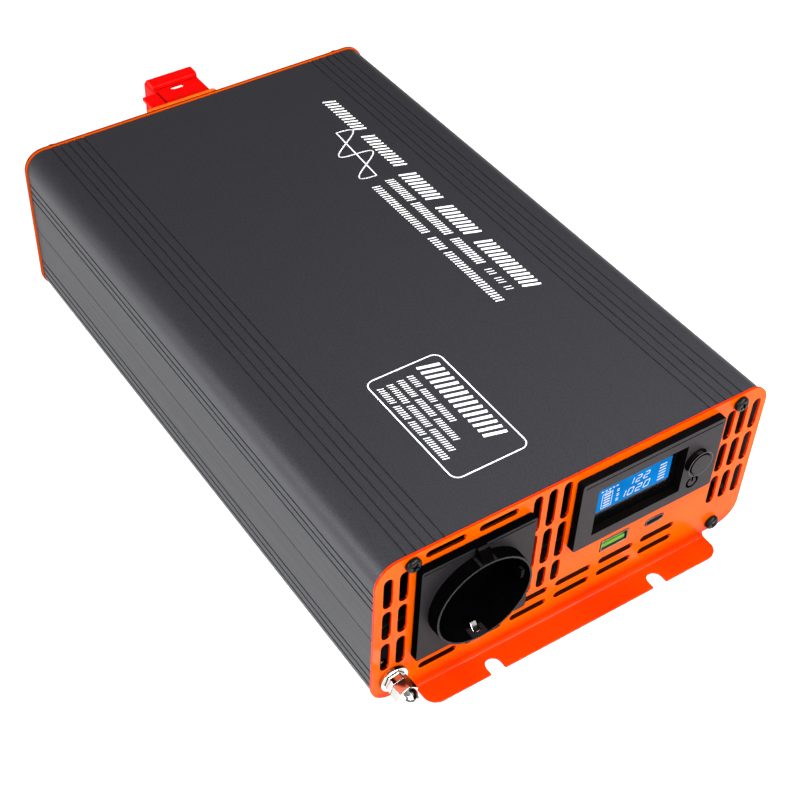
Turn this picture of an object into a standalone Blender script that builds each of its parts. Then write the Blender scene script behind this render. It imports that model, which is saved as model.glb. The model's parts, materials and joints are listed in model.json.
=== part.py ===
"""Power inverter: an extruded aluminium case with a painted sheet-metal panel at each end.

Metres, +Z up. The front panel faces -Y, and +X is to the right seen from the front.
The origin is under the middle of the whole object, on the plane that its foot flanges rest on.
"""

import math

import bmesh
import bpy
from mathutils import Matrix

MM = 0.001
GAP = 0.3 * MM

# Driving dimensions
WIDTH = 176 * MM
HEIGHT = 77.5 * MM
LENGTH = 280 * MM
SHEET = 1 * MM
PANEL_BOTTOM = 2.8 * MM
PANEL_CORNER = 9.5 * MM
COVER_REACH = 27 * MM
EARTH_REACH = 14.5 * MM

FRONT = -(LENGTH + COVER_REACH - EARTH_REACH) / 2
REAR = FRONT + LENGTH

# Case: two half shells of one extrusion family
CASE_HALF = WIDTH / 2 - 0.8 * MM
CASE_TOP = HEIGHT - 0.6 * MM
CASE_BOTTOM = PANEL_BOTTOM
CASE_SPLIT = 38.2 * MM
CASE_CORNER = 9 * MM
CASE_WALL = 2 * MM
GROOVE_WIDTH = 0.8 * MM
GROOVE_DEPTH = 0.45 * MM
TOP_GROOVES = [59.2 * MM + 3.9 * MM * i for i in range(5)]
UPPER_SIDE_GROOVES = [54.9 * MM, 58.7 * MM, 62.5 * MM]
LOWER_SIDE_GROOVES = [20.2 * MM, 16.2 * MM, 12.4 * MM]
RAIL_REACH = 2 * MM
BOARD_LEVEL = 14.5 * MM
BOARD_THICKNESS = 1.6 * MM
RAIL_THICKNESS = 1.2 * MM

# Panel screws: x, z
SCREW_BORE = 1.8 * MM
UPPER_SCREW = (73.4 * MM, 73.7 * MM)
LOWER_SCREW = (74.6 * MM, 7.6 * MM)
BOSS_HALF = 3.4 * MM

# Foot flanges
FLANGE_REACH = 10.9 * MM
FLANGE_CORNER = 5.5 * MM
FLANGE_SLOT_WIDTH = 6.6 * MM
FLANGE_SLOT_DEPTH = 6.5 * MM

# Ventilation slots
VENT_WIDTH = 4 * MM
VENT_LENGTH = 15.3 * MM
VENT_ROWS = [63.2 * MM, 46.0 * MM, 28.2 * MM]
LOUVRE_WIDTH = 3.2 * MM
LOUVRE_LENGTH = 17 * MM
LOUVRE_PITCH = 20.7 * MM

# Front panel fittings: x, z of their centres
EARTH = (-79 * MM, 14.3 * MM)
SOCKET = (-47.1 * MM, 45.9 * MM)
SOCKET_PLATE = 48.8 * MM
SOCKET_PROUD = 3.6 * MM
SOCKET_COLLAR_REACH = 9 * MM
SOCKET_COLLAR = 20.6 * MM
SOCKET_CUP = 19.6 * MM
SOCKET_BODY = 21.2 * MM
SOCKET_FLOOR = 8.5 * MM
SOCKET_BACK = 32 * MM
CONTACT_SPACING = 19 * MM
CONTACT_BORE = 2.9 * MM
CLIP_WIDTH = 2.6 * MM

BEZEL_X = (-3 * MM, 63.8 * MM)
BEZEL_Z = (38.8 * MM, 74.2 * MM)
BEZEL_PROUD = 3.6 * MM
SKIRT_X = (0.2 * MM, 60.6 * MM)
SKIRT_Z = (41.4 * MM, 71.6 * MM)
SKIRT_DEPTH = 6 * MM
WINDOW_X = (5 * MM, 46.8 * MM)
WINDOW_Z = (44 * MM, 67.8 * MM)
BUTTON = (52.3 * MM, 58 * MM)
BUTTON_RADIUS = 4.9 * MM
BUTTON_PROUD = 6.4 * MM

USB_A = (21.6 * MM, 28.0 * MM)
USB_A_SIZE = (13.1 * MM, 5.7 * MM)
USB_C = (41.4 * MM, 27.9 * MM)
USB_C_SIZE = (8.94 * MM, 3.26 * MM)

# Rear panel fittings
TERMINAL_X = -2.6 * MM
POSITIVE_Z = 59.5 * MM
NEGATIVE_Z = 26 * MM
COVER_WIDTH = 23.7 * MM
COVER_HEIGHT = 31 * MM
COVER_WALL = 1.6 * MM
PLATE_X = (-26 * MM, 10 * MM)
PLATE_PROUD = 2.3 * MM
FAN = (39.6 * MM, 40 * MM)
FAN_SIZE = 60 * MM
FAN_DEPTH = 15 * MM
FAN_SCREW = 25 * MM

FORWARD = Matrix.Rotation(math.pi / 2, 4, "X")  # local +Z to world -Y
REARWARD = Matrix.Rotation(-math.pi / 2, 4, "X")  # local +Z to world +Y
UPWARD = Matrix.Identity(4)

for old in list(bpy.data.objects):
    bpy.data.objects.remove(old, do_unlink=True)

PARTS = bpy.data.collections.new("power_inverter")
CUTTERS = bpy.data.collections.new("cutters")
bpy.context.scene.collection.children.link(PARTS)
bpy.context.scene.collection.children.link(CUTTERS)


# ---------------------------------------------------------------- materials


def material(name, colour, roughness, metallic=0.0):
    made = bpy.data.materials.new(name)
    made.use_nodes = True
    shader = made.node_tree.nodes["Principled BSDF"]
    shader.inputs["Base Color"].default_value = (*colour, 1.0)
    shader.inputs["Roughness"].default_value = roughness
    shader.inputs["Metallic"].default_value = metallic
    made.diffuse_color = (*colour, 1.0)
    return made


ANODISED = material("anodised_aluminium", (0.035, 0.035, 0.04), 0.55, 0.6)
ORANGE = material("orange_paint", (0.9, 0.12, 0.0), 0.2)
BLACK_STEEL = material("black_steel", (0.01, 0.01, 0.01), 0.35, 0.6)
NICKEL = material("nickel_plate", (0.75, 0.73, 0.7), 0.15, 1.0)
BLACK_PLASTIC = material("black_plastic", (0.02, 0.02, 0.022), 0.5)
GREY_PLASTIC = material("grey_plastic", (0.05, 0.05, 0.055), 0.5)
CLEAR = material("clear_window", (0.02, 0.02, 0.03), 0.05)
LCD_BLUE = material("lcd_blue", (0.0, 0.25, 0.9), 0.3)
GREEN_PLASTIC = material("green_plastic", (0.12, 0.6, 0.02), 0.4)
BRASS = material("brass", (0.7, 0.5, 0.2), 0.3, 1.0)
COPPER = material("copper", (0.75, 0.35, 0.18), 0.35, 1.0)
RED_PVC = material("red_pvc", (0.8, 0.0, 0.0), 0.4)
BLACK_PVC = material("black_pvc", (0.015, 0.015, 0.015), 0.45)
BOARD_GREEN = material("circuit_board", (0.02, 0.12, 0.04), 0.5)
FERRITE = material("ferrite", (0.04, 0.04, 0.04), 0.7)
BARE_ALUMINIUM = material("bare_aluminium", (0.6, 0.6, 0.62), 0.4, 1.0)
SLEEVE = material("capacitor_sleeve", (0.01, 0.02, 0.06), 0.4)


# ------------------------------------------------------------------ outlines


def arc(centre, radius, start, end, steps):
    """Points of an arc, angles in degrees."""
    points = []
    for i in range(steps + 1):
        angle = math.radians(start + (end - start) * i / steps)
        points.append((centre[0] + radius * math.cos(angle), centre[1] + radius * math.sin(angle)))
    return points


def circle(centre, radius, steps):
    return arc(centre, radius, 0, 360 * (steps - 1) / steps, steps - 1)


def rounded_box(x_range, z_range, radius, steps=6):
    (left, right), (low, high) = x_range, z_range
    return (
        arc((right - radius, high - radius), radius, 0, 90, steps)
        + arc((left + radius, high - radius), radius, 90, 180, steps)
        + arc((left + radius, low + radius), radius, 180, 270, steps)
        + arc((right - radius, low + radius), radius, 270, 360, steps)
    )


def plain_box(x_range, z_range):
    (left, right), (low, high) = x_range, z_range
    return [(left, low), (right, low), (right, high), (left, high)]


def centred(centre, width, height):
    """The x and z ranges of a box about a centre."""
    return (
        (centre[0] - width / 2, centre[0] + width / 2),
        (centre[1] - height / 2, centre[1] + height / 2),
    )


def upright_slot(centre, length, width):
    straight = length / 2 - width / 2
    return arc((centre[0], centre[1] + straight), width / 2, 0, 180, 4) + arc(
        (centre[0], centre[1] - straight), width / 2, 180, 360, 4
    )


def level_slot(centre, length, width):
    straight = length / 2 - width / 2
    return arc((centre[0] + straight, centre[1]), width / 2, -90, 90, 4) + arc(
        (centre[0] - straight, centre[1]), width / 2, 90, 270, 4
    )


def hexagon(centre, across_flats, turn=0):
    return arc(centre, across_flats / math.sqrt(3), turn, turn + 300, 5)


def hexagonal_ring(centre, across_flats, bore, turn=0):
    return [hexagon(centre, across_flats, turn), circle(centre, bore, 16)]


# ----------------------------------------------------------- solids and joins


def keep(obj, name, mat, smooth_angle=35):
    """Names a finished piece, gives it its material and puts it with the parts."""
    for home in list(obj.users_collection):
        home.objects.unlink(obj)
    PARTS.objects.link(obj)
    obj.name = name
    obj.data.name = name
    obj.data.materials.clear()
    obj.data.materials.append(mat)
    obj.data.shade_smooth()
    obj.data.set_sharp_from_angle(angle=math.radians(smooth_angle))
    return obj


def loose(mesh, placing=UPWARD):
    obj = bpy.data.objects.new(mesh.name, mesh)
    bpy.context.scene.collection.objects.link(obj)
    obj.matrix_world = placing
    return obj


def flat(outlines, low, high, normal="Y"):
    """A flat piece from low to high along the normal: the first outline, with the others as holes in it."""
    piece = slabs(outlines[:1], low, high, normal)
    if len(outlines) > 1:
        cut(piece, slabs(outlines[1:], low - 1 * MM, high + 1 * MM, normal))
    return piece


def slabs(outlines, low, high, normal):
    """A slab for each outline, as one object.

    Outlines are (x, z) for normal Y, (x, y) for normal Z and (y, z) for normal X.
    """
    middle = (low + high) / 2
    placings = {
        "X": Matrix(((0, 0, 1, middle), (1, 0, 0, 0), (0, 1, 0, 0), (0, 0, 0, 1))),
        "Y": Matrix.Translation((0, middle, 0)) @ FORWARD,
        "Z": Matrix.Translation((0, 0, middle)),
    }
    half = (high - low) / 2
    shape = bmesh.new()
    for outline in outlines:
        bottom = [shape.verts.new((u, v, -half)) for u, v in outline]
        top = [shape.verts.new((u, v, half)) for u, v in outline]
        shape.faces.new(bottom)
        shape.faces.new(top)
        for i in range(len(outline)):
            shape.faces.new((bottom[i - 1], bottom[i], top[i], top[i - 1]))
    bmesh.ops.recalc_face_normals(shape, faces=shape.faces)
    mesh = bpy.data.meshes.new("slabs")
    shape.to_mesh(mesh)
    shape.free()
    return loose(mesh, placings[normal])


def block(x_range, y_range, z_range):
    """A plain rectangular solid."""
    shape = bmesh.new()
    bmesh.ops.create_cube(shape, size=1)
    for vert in shape.verts:
        for axis, (low, high) in enumerate((x_range, y_range, z_range)):
            vert.co[axis] = low + (vert.co[axis] + 0.5) * (high - low)
    mesh = bpy.data.meshes.new("block")
    shape.to_mesh(mesh)
    shape.free()
    return loose(mesh)


def turned(profile, at, facing, steps):
    """A turned solid: (radius, height) points from its top down the outside, spun about the local Z axis."""
    mesh = bpy.data.meshes.new("turned")
    points = [(radius, 0, height) for radius, height in profile]
    closed = profile[0][0] > 0
    edges = [(i, i + 1) for i in range(len(points) - 1)]
    if closed:
        edges.append((len(points) - 1, 0))
    mesh.from_pydata(points, edges, [])
    obj = loose(mesh, Matrix.Translation(at) @ facing)
    spin = obj.modifiers.new("spin", "SCREW")
    spin.steps = steps
    spin.render_steps = steps
    spin.use_merge_vertices = True
    spin.merge_threshold = 0.01 * MM
    return obj


def combine(obj, others, operation):
    """Joins or cuts obj with helper solids, which move to the cutters."""
    for other in others:
        for home in list(other.users_collection):
            home.objects.unlink(other)
        CUTTERS.objects.link(other)
        other.hide_render = True
        other.display_type = "WIRE"
        step = obj.modifiers.new(operation.lower(), "BOOLEAN")
        step.operation = operation
        step.solver = "EXACT"
        step.object = other
    return obj


def joined(obj, *others):
    return combine(obj, others, "UNION")


def cut(obj, *others):
    return combine(obj, others, "DIFFERENCE")


# ---------------------------------------------------------------------- case


def notched_run(fixed, start, end, grooves, inward):
    """Points along a straight wall from start to end, with a groove at each given place."""
    points = [(fixed, start)]
    step = 1 if end > start else -1
    for place in sorted(grooves, reverse=step < 0):
        near = place - step * GROOVE_WIDTH / 2
        far = place + step * GROOVE_WIDTH / 2
        deep = fixed + inward * GROOVE_DEPTH
        points += [(fixed, near), (deep, near), (deep, far), (fixed, far)]
    return points + [(fixed, end)]


def shell_half(height, side_grooves, face_grooves, boss, rails):
    """Half of a shell's outline, from the split outwards: (distance across, distance from the split)."""
    start = GAP / 2
    outer = notched_run(CASE_HALF, start, height - CASE_CORNER, side_grooves, -1)
    outer += arc((CASE_HALF - CASE_CORNER, height - CASE_CORNER), CASE_CORNER, 0, 90, 8)[1:]
    face = notched_run(height, CASE_HALF - CASE_CORNER, 0, face_grooves, -1)[1:]
    outer += [(across, level) for level, across in face]
    inside = height - CASE_WALL
    radius = CASE_CORNER - CASE_WALL
    boss_x, boss_level = boss
    inner = [(0, inside), (boss_x - BOSS_HALF, inside), (boss_x - BOSS_HALF, boss_level)]
    inner += [(boss_x + BOSS_HALF, boss_level), (boss_x + BOSS_HALF, inside)]
    inner += arc((CASE_HALF - CASE_CORNER, height - CASE_CORNER), radius, 90, 0, 6)
    wall = CASE_HALF - CASE_WALL
    for rail in rails:
        inner += [(wall, rail + RAIL_THICKNESS / 2), (wall - RAIL_REACH, rail + RAIL_THICKNESS / 2)]
        inner += [(wall - RAIL_REACH, rail - RAIL_THICKNESS / 2), (wall, rail - RAIL_THICKNESS / 2)]
    return outer[:-1], inner[1:] + [(wall, start)]


def shell(name, height, direction, side_grooves, face_grooves, boss, rails, bore):
    """One case half, extruded along Y. direction is +1 above the split and -1 below it."""
    outer, inner = shell_half(height, side_grooves, face_grooves, boss, rails)
    left_outer = [(-x, v) for x, v in reversed(outer)]
    left_inner = [(-x, v) for x, v in reversed(inner)]
    outline = outer + left_outer + left_inner + inner
    placed = [(x, CASE_SPLIT + direction * v) for x, v in outline]
    bores = [circle((side * bore[0], bore[1]), SCREW_BORE, 12) for side in (-1, 1)]
    body = flat([placed, *bores], FRONT + SHEET + GAP, REAR - SHEET - GAP)
    return keep(body, name, ANODISED)


def make_case():
    upper = CASE_TOP - CASE_SPLIT
    lower = CASE_SPLIT - CASE_BOTTOM
    upper_boss = (UPPER_SCREW[0], UPPER_SCREW[1] - BOSS_HALF + 0.4 * MM - CASE_SPLIT)
    lower_boss = (LOWER_SCREW[0], CASE_SPLIT - LOWER_SCREW[1] - 2.8 * MM)
    half_slot = BOARD_THICKNESS / 2 + GAP + RAIL_THICKNESS / 2
    rails = [CASE_SPLIT - BOARD_LEVEL + half_slot, CASE_SPLIT - BOARD_LEVEL - half_slot]
    shell(
        "upper_case",
        upper,
        1,
        [z - CASE_SPLIT for z in UPPER_SIDE_GROOVES],
        TOP_GROOVES,
        upper_boss,
        [],
        UPPER_SCREW,
    )
    shell(
        "lower_case",
        lower,
        -1,
        [CASE_SPLIT - z for z in LOWER_SIDE_GROOVES],
        [],
        lower_boss,
        rails,
        LOWER_SCREW,
    )


# -------------------------------------------------------------- sheet panels


def foot_flange(x_range, slots, face, outward):
    """The bend below a panel and the flange that it turns into: solids to join to the panel."""
    inner = PANEL_BOTTOM - SHEET

    def away(distance):
        return face + outward * distance

    bend = [(away(-SHEET), PANEL_BOTTOM + SHEET), (away(-SHEET), PANEL_BOTTOM)]
    bend += [
        (away(inner - radius), PANEL_BOTTOM - level)
        for radius, level in arc((0, 0), PANEL_BOTTOM, 0, 90, 6)[1:]
    ]
    bend += [(away(inner + 1.5 * MM), 0), (away(inner + 1.5 * MM), SHEET)]
    bend += [
        (away(inner - radius), PANEL_BOTTOM - level)
        for radius, level in arc((0, 0), inner, 90, 0, 5)
    ]
    bend += [(away(0), PANEL_BOTTOM + SHEET)]
    left, right = x_range
    near, far = away(inner + 0.5 * MM), away(FLANGE_REACH)
    sign = -outward
    edge = far + sign * FLANGE_CORNER
    outline = [(left, near)]
    outline += arc((left + FLANGE_CORNER, edge), FLANGE_CORNER, 180, 180 + sign * 90, 6)
    for slot in sorted(slots):
        half = FLANGE_SLOT_WIDTH / 2
        top = far + sign * (FLANGE_SLOT_DEPTH - half)
        outline += [(slot - half, far)]
        outline += arc((slot, top), half, 180, 180 - sign * 180, 8)
        outline += [(slot + half, far)]
    outline += arc((right - FLANGE_CORNER, edge), FLANGE_CORNER, -sign * 90, 0, 6)
    outline += [(right, near)]
    return flat([bend], left, right, "X"), flat([outline], 0, SHEET, "Z")


def panel_outline():
    return rounded_box((-WIDTH / 2, WIDTH / 2), (PANEL_BOTTOM, HEIGHT), PANEL_CORNER, 8)


def front_holes():
    side = [-82.6 * MM, -76 * MM, 70.7 * MM, 76.9 * MM, 83.2 * MM]
    holes = [upright_slot((x, z), VENT_LENGTH, VENT_WIDTH) for x in side for z in VENT_ROWS]
    long_vent, short_vent = 19 * MM, 11.3 * MM
    middle = [(66.4 * MM, long_vent), (45.8 * MM, long_vent), (28.4 * MM, short_vent)]
    for x in (-20 * MM, -13.4 * MM, -6.8 * MM):
        holes += [upright_slot((x, z), length, VENT_WIDTH) for z, length in middle]
    for i in range(6):
        x = -59 * MM + LOUVRE_PITCH * i
        holes.append(level_slot((x, 12 * MM), LOUVRE_LENGTH, LOUVRE_WIDTH))
        if i > 1:
            holes.append(level_slot((x, 19 * MM), LOUVRE_LENGTH, LOUVRE_WIDTH))
    for x in (-59.3 * MM, -37.1 * MM):
        holes.append(level_slot((x, 74 * MM), LOUVRE_LENGTH, LOUVRE_WIDTH))
    holes.append(circle(SOCKET, SOCKET_BODY + 0.4 * MM, 32))
    holes.append(
        plain_box(
            (SKIRT_X[0] - GAP, SKIRT_X[1] + GAP),
            (SKIRT_Z[0] - GAP, SKIRT_Z[1] + GAP),
        )
    )
    holes.append(rounded_box(*centred(USB_A, 13.9 * MM, 6.5 * MM), 0.8 * MM, 3))
    holes.append(level_slot(USB_C, 9.9 * MM, 4.2 * MM))
    for x, z in front_screw_places().values():
        holes.append(circle((x, z), SCREW_BORE, 12))
    holes.append(circle(EARTH, 2.9 * MM, 12))
    return holes


def front_screw_places():
    return {
        "top_left": (-UPPER_SCREW[0], UPPER_SCREW[1]),
        "top_right": UPPER_SCREW,
        "bottom_right": LOWER_SCREW,
    }


def rear_screw_places():
    return {
        "top_left": (-UPPER_SCREW[0], UPPER_SCREW[1]),
        "top_right": UPPER_SCREW,
        "bottom_left": (-LOWER_SCREW[0], LOWER_SCREW[1]),
        "bottom_right": LOWER_SCREW,
    }


def fan_corners():
    return [
        (FAN[0] + sx * FAN_SCREW, FAN[1] + sz * FAN_SCREW) for sx in (-1, 1) for sz in (-1, 1)
    ]


def terminal_centres():
    return {"positive": (TERMINAL_X, POSITIVE_Z), "negative": (TERMINAL_X, NEGATIVE_Z)}


def rear_holes():
    columns = [-82.6 * MM, -76 * MM, -69.4 * MM, -62.8 * MM, -56.2 * MM, -49.6 * MM]
    holes = [upright_slot((x, z), VENT_LENGTH, VENT_WIDTH) for x in columns for z in VENT_ROWS]
    reach, row_pitch = 26 * MM, 6.4 * MM
    for i in range(8):
        drop = (i - 3.5) * row_pitch
        chord = 2 * math.sqrt(reach**2 - drop**2)
        holes.append(level_slot((FAN[0], FAN[1] + drop), chord, 3.6 * MM))
    for centre in rear_screw_places().values():
        holes.append(circle(centre, SCREW_BORE, 12))
    for centre in fan_corners():
        holes.append(circle(centre, 2.3 * MM, 10))
    for centre in terminal_centres().values():
        holes.append(circle(centre, 8 * MM, 20))
    return holes


def make_panels():
    front = flat([panel_outline(), *front_holes()], FRONT, FRONT + SHEET)
    bend, flange = foot_flange(
        (-68.4 * MM, 71.6 * MM), (-37.9 * MM, 40.6 * MM), FRONT, -1
    )
    keep(joined(front, bend, flange), "front_panel", ORANGE)
    rear = flat([panel_outline(), *rear_holes()], REAR - SHEET, REAR)
    bend, flange = foot_flange((-70 * MM, 70 * MM), (-39.2 * MM, 39.2 * MM), REAR, 1)
    keep(joined(rear, bend, flange), "rear_panel", ORANGE)
    outline = rounded_box(PLATE_X, (PANEL_BOTTOM + 1 * MM, HEIGHT), 2 * MM, 3)
    bores = [circle(centre, 8 * MM, 20) for centre in terminal_centres().values()]
    plate = flat([outline, *bores], REAR + GAP, REAR + PLATE_PROUD)
    keep(plate, "rear_terminal_plate", ORANGE)


def pan_screw(name, centre, face, facing, head, shank, length, mat):
    """A pan-head screw whose head rests just off a face."""
    dome = 0.7 * head
    profile = [(0, dome), (0.55 * head, 0.95 * dome), (0.86 * head, 0.72 * dome)]
    profile += [(head, 0.35 * dome), (head, 0), (shank, 0), (shank, -length), (0, -length)]
    at = (centre[0], face, centre[1])
    keep(turned(profile, at, facing, 12), name, mat)


def make_panel_screws():
    for place, centre in front_screw_places().items():
        name = "front_screw_" + place
        pan_screw(name, centre, FRONT - GAP, FORWARD, 3.1 * MM, 1.5 * MM, 9 * MM, BLACK_STEEL)
    for place, centre in rear_screw_places().items():
        name = "rear_screw_" + place
        pan_screw(name, centre, REAR + GAP, REARWARD, 3.1 * MM, 1.5 * MM, 9 * MM, BLACK_STEEL)


# ------------------------------------------------------------ earth terminal


def make_earth_terminal():
    at = (EARTH[0], FRONT, EARTH[1])
    shaft = 2.5 * MM
    stud = turned(
        [(0, 11 * MM), (shaft, 11 * MM), (shaft, -7 * MM), (0, -7 * MM)], at, FORWARD, 16
    )
    head = flat([hexagon(EARTH, 6.4 * MM)], FRONT + SHEET + GAP, FRONT + 4.2 * MM)
    keep(joined(stud, head), "earth_stud", NICKEL)
    washer = [circle(EARTH, 5.8 * MM, 24), circle(EARTH, 2.8 * MM, 16)]
    keep(flat(washer, FRONT - 1.8 * MM, FRONT - GAP), "earth_washer", NICKEL)
    lock_nut = hexagonal_ring(EARTH, 8 * MM, 2.8 * MM, 12)
    keep(flat(lock_nut, FRONT - 5.3 * MM, FRONT - 2.1 * MM), "earth_lock_nut", NICKEL)
    cap = flat([hexagon(EARTH, 8.2 * MM, 20)], FRONT - 10 * MM, FRONT - 5.6 * MM)
    top, rim = EARTH_REACH, 10 * MM
    dome = [(3.8 * MM * math.sin(a), rim + (top - rim) * math.cos(a)) for a in quarter(5)]
    dome += [(3.8 * MM, 8 * MM), (0, 8 * MM)]
    bore = [(0, 11.6 * MM), (2.8 * MM, 11.6 * MM), (2.8 * MM, 5 * MM), (0, 5 * MM)]
    cap = joined(cap, turned(dome, at, FORWARD, 16))
    keep(cut(cap, turned(bore, at, FORWARD, 16)), "earth_cap_nut", NICKEL)


def quarter(steps):
    """Angles from 0 to a right angle."""
    return [math.pi / 2 * i / steps for i in range(steps + 1)]


# ----------------------------------------------------------------- AC socket


def make_socket():
    at = (SOCKET[0], FRONT, SOCKET[1])
    half = SOCKET_PLATE / 2
    plate = flat(
        [rounded_box(*centred(SOCKET, SOCKET_PLATE, SOCKET_PLATE), 1 * MM, 3)],
        FRONT - SOCKET_PROUD,
        FRONT - GAP,
    )
    collar = [(0, SOCKET_COLLAR_REACH), (SOCKET_COLLAR, SOCKET_COLLAR_REACH)]
    collar += [(SOCKET_COLLAR, 1 * MM), (0, 1 * MM)]
    barrel = [(0, 1 * MM), (SOCKET_BODY, 1 * MM), (SOCKET_BODY, -SOCKET_BACK), (0, -SOCKET_BACK)]
    cup = [(0, 12 * MM), (SOCKET_CUP, 12 * MM), (SOCKET_CUP, -SOCKET_FLOOR), (0, -SOCKET_FLOOR)]
    top = SOCKET[1] + half
    rim = SOCKET[1] + SOCKET_COLLAR
    gusset = [
        (FRONT - 2 * MM, top),
        (FRONT - 5.6 * MM, top),
        (FRONT - SOCKET_COLLAR_REACH + 0.3 * MM, rim),
        (FRONT - SOCKET_COLLAR_REACH + 0.3 * MM, rim - 0.7 * MM),
        (FRONT - 2 * MM, rim - 0.7 * MM),
    ]
    centre = SOCKET[0]
    body = joined(
        plate,
        turned(collar, at, FORWARD, 36),
        turned(barrel, at, FORWARD, 36),
        flat([gusset], centre - 2.3 * MM, centre + 2.3 * MM, "X"),
    )
    body = cut(body, turned(cup, at, FORWARD, 36))
    ribs = []
    for side in (-1, 1):
        wall = centre + side * (SOCKET_CUP + 0.5 * MM)
        inner = centre + side * (SOCKET_CUP - 1.6 * MM)
        across = (min(wall, inner), max(wall, inner))
        deep = (FRONT - 6 * MM, FRONT + SOCKET_FLOOR + 1 * MM)
        ribs.append(block(across, deep, (SOCKET[1] - 2.2 * MM, SOCKET[1] + 2.2 * MM)))
    body = joined(body, *ribs)
    bore = [
        (0, -SOCKET_FLOOR + 4 * MM),
        (CONTACT_BORE, -SOCKET_FLOOR + 4 * MM),
        (CONTACT_BORE, -SOCKET_BACK - 4 * MM),
        (0, -SOCKET_BACK - 4 * MM),
    ]
    cutters = []
    for side in (-1, 1):
        place = (centre + side * CONTACT_SPACING / 2, FRONT, SOCKET[1])
        cutters.append(turned(bore, place, FORWARD, 16))
        pocket = sorted(SOCKET[1] + side * reach for reach in (SOCKET_CUP - 2 * MM, SOCKET_CUP + 1.4 * MM))
        across = (centre - CLIP_WIDTH / 2 - GAP, centre + CLIP_WIDTH / 2 + GAP)
        cutters.append(block(across, (FRONT - 6.8 * MM, FRONT + 1.4 * MM), pocket))
    keep(cut(body, *cutters), "socket_body", BLACK_PLASTIC)


def make_socket_contacts():
    outer, inner = CONTACT_BORE - GAP, 2.2 * MM
    front, back = -SOCKET_FLOOR - 1 * MM, -SOCKET_BACK - 3 * MM
    profile = [(inner, front), (outer, front), (outer, back), (inner, back)]
    for side, word in ((-1, "left"), (1, "right")):
        at = (SOCKET[0] + side * CONTACT_SPACING / 2, FRONT, SOCKET[1])
        keep(turned(profile, at, FORWARD, 14), "socket_contact_" + word, BRASS)
    for side, word in ((-1, "bottom"), (1, "top")):
        seat = SOCKET[1] + side * (SOCKET_CUP + 0.5 * MM)
        bump = SOCKET[1] + side * (SOCKET_CUP - 2 * MM)
        thick = side * 0.5 * MM
        clip = [
            (FRONT - 6.4 * MM, seat),
            (FRONT - 3.8 * MM, bump),
            (FRONT - 1.6 * MM, bump),
            (FRONT + 1 * MM, seat),
        ]
        outline = clip + [(y, z + thick) for y, z in reversed(clip)]
        left = SOCKET[0] - CLIP_WIDTH / 2
        strip = flat([outline], left, left + CLIP_WIDTH, "X")
        keep(strip, "socket_earth_clip_" + word, NICKEL)


# ------------------------------------------------------------- display module


def make_display():
    button_hole = circle(BUTTON, BUTTON_RADIUS + 0.3 * MM, 24)
    window = plain_box(WINDOW_X, WINDOW_Z)
    face = rounded_box(BEZEL_X, BEZEL_Z, 1.2 * MM, 3)
    bezel = flat([face, window, button_hole], FRONT - BEZEL_PROUD, FRONT - GAP)
    wall = 1.4 * MM
    inside = (
        (SKIRT_X[0] + wall, SKIRT_X[1] - wall),
        (SKIRT_Z[0] + wall, SKIRT_Z[1] - wall),
    )
    skirt = flat(
        [plain_box(SKIRT_X, SKIRT_Z), plain_box(*inside)],
        FRONT - 1 * MM,
        FRONT + SKIRT_DEPTH,
    )
    keep(joined(bezel, skirt), "display_bezel", GREY_PLASTIC)
    margin = 1.5 * MM
    lens_x = (WINDOW_X[0] - margin, WINDOW_X[1] + 0.5 * MM)
    lens_z = (WINDOW_Z[0] - 1 * MM, WINDOW_Z[1] + margin)
    keep(flat([plain_box(lens_x, lens_z)], FRONT, FRONT + 1 * MM), "display_window", CLEAR)
    panel_x = (lens_x[0], WINDOW_X[1] - 1 * MM)
    panel = flat([plain_box(panel_x, lens_z)], FRONT + 1.3 * MM, FRONT + 5.6 * MM)
    keep(panel, "lcd_panel", LCD_BLUE)
    board = flat(
        [plain_box((SKIRT_X[0], SKIRT_X[1]), (SKIRT_Z[0], SKIRT_Z[1]))],
        FRONT + 6.3 * MM,
        FRONT + 7.9 * MM,
    )
    keep(board, "display_board", BOARD_GREEN)


def make_button():
    at = (BUTTON[0], FRONT, BUTTON[1])
    radius, bevel = BUTTON_RADIUS, 0.5 * MM
    profile = [
        (0, BUTTON_PROUD),
        (radius - bevel, BUTTON_PROUD),
        (radius, BUTTON_PROUD - bevel),
        (radius, -1.3 * MM),
        (radius + 1.1 * MM, -1.3 * MM),
        (radius + 1.1 * MM, -2.2 * MM),
        (2 * MM, -2.2 * MM),
        (2 * MM, -2.4 * MM),
        (0, -2.4 * MM),
    ]
    keep(turned(profile, at, FORWARD, 24), "power_button", GREY_PLASTIC)
    body = block(
        (BUTTON[0] - 3 * MM, BUTTON[0] + 3 * MM),
        (FRONT + 4.1 * MM, FRONT + 6 * MM),
        (BUTTON[1] - 3 * MM, BUTTON[1] + 3 * MM),
    )
    plunger = [(0, -3.9 * MM), (1.6 * MM, -3.9 * MM), (1.6 * MM, -5 * MM), (0, -5 * MM)]
    keep(joined(body, turned(plunger, at, FORWARD, 12)), "button_switch", BLACK_PLASTIC)


# ------------------------------------------------------------- charging ports


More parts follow.
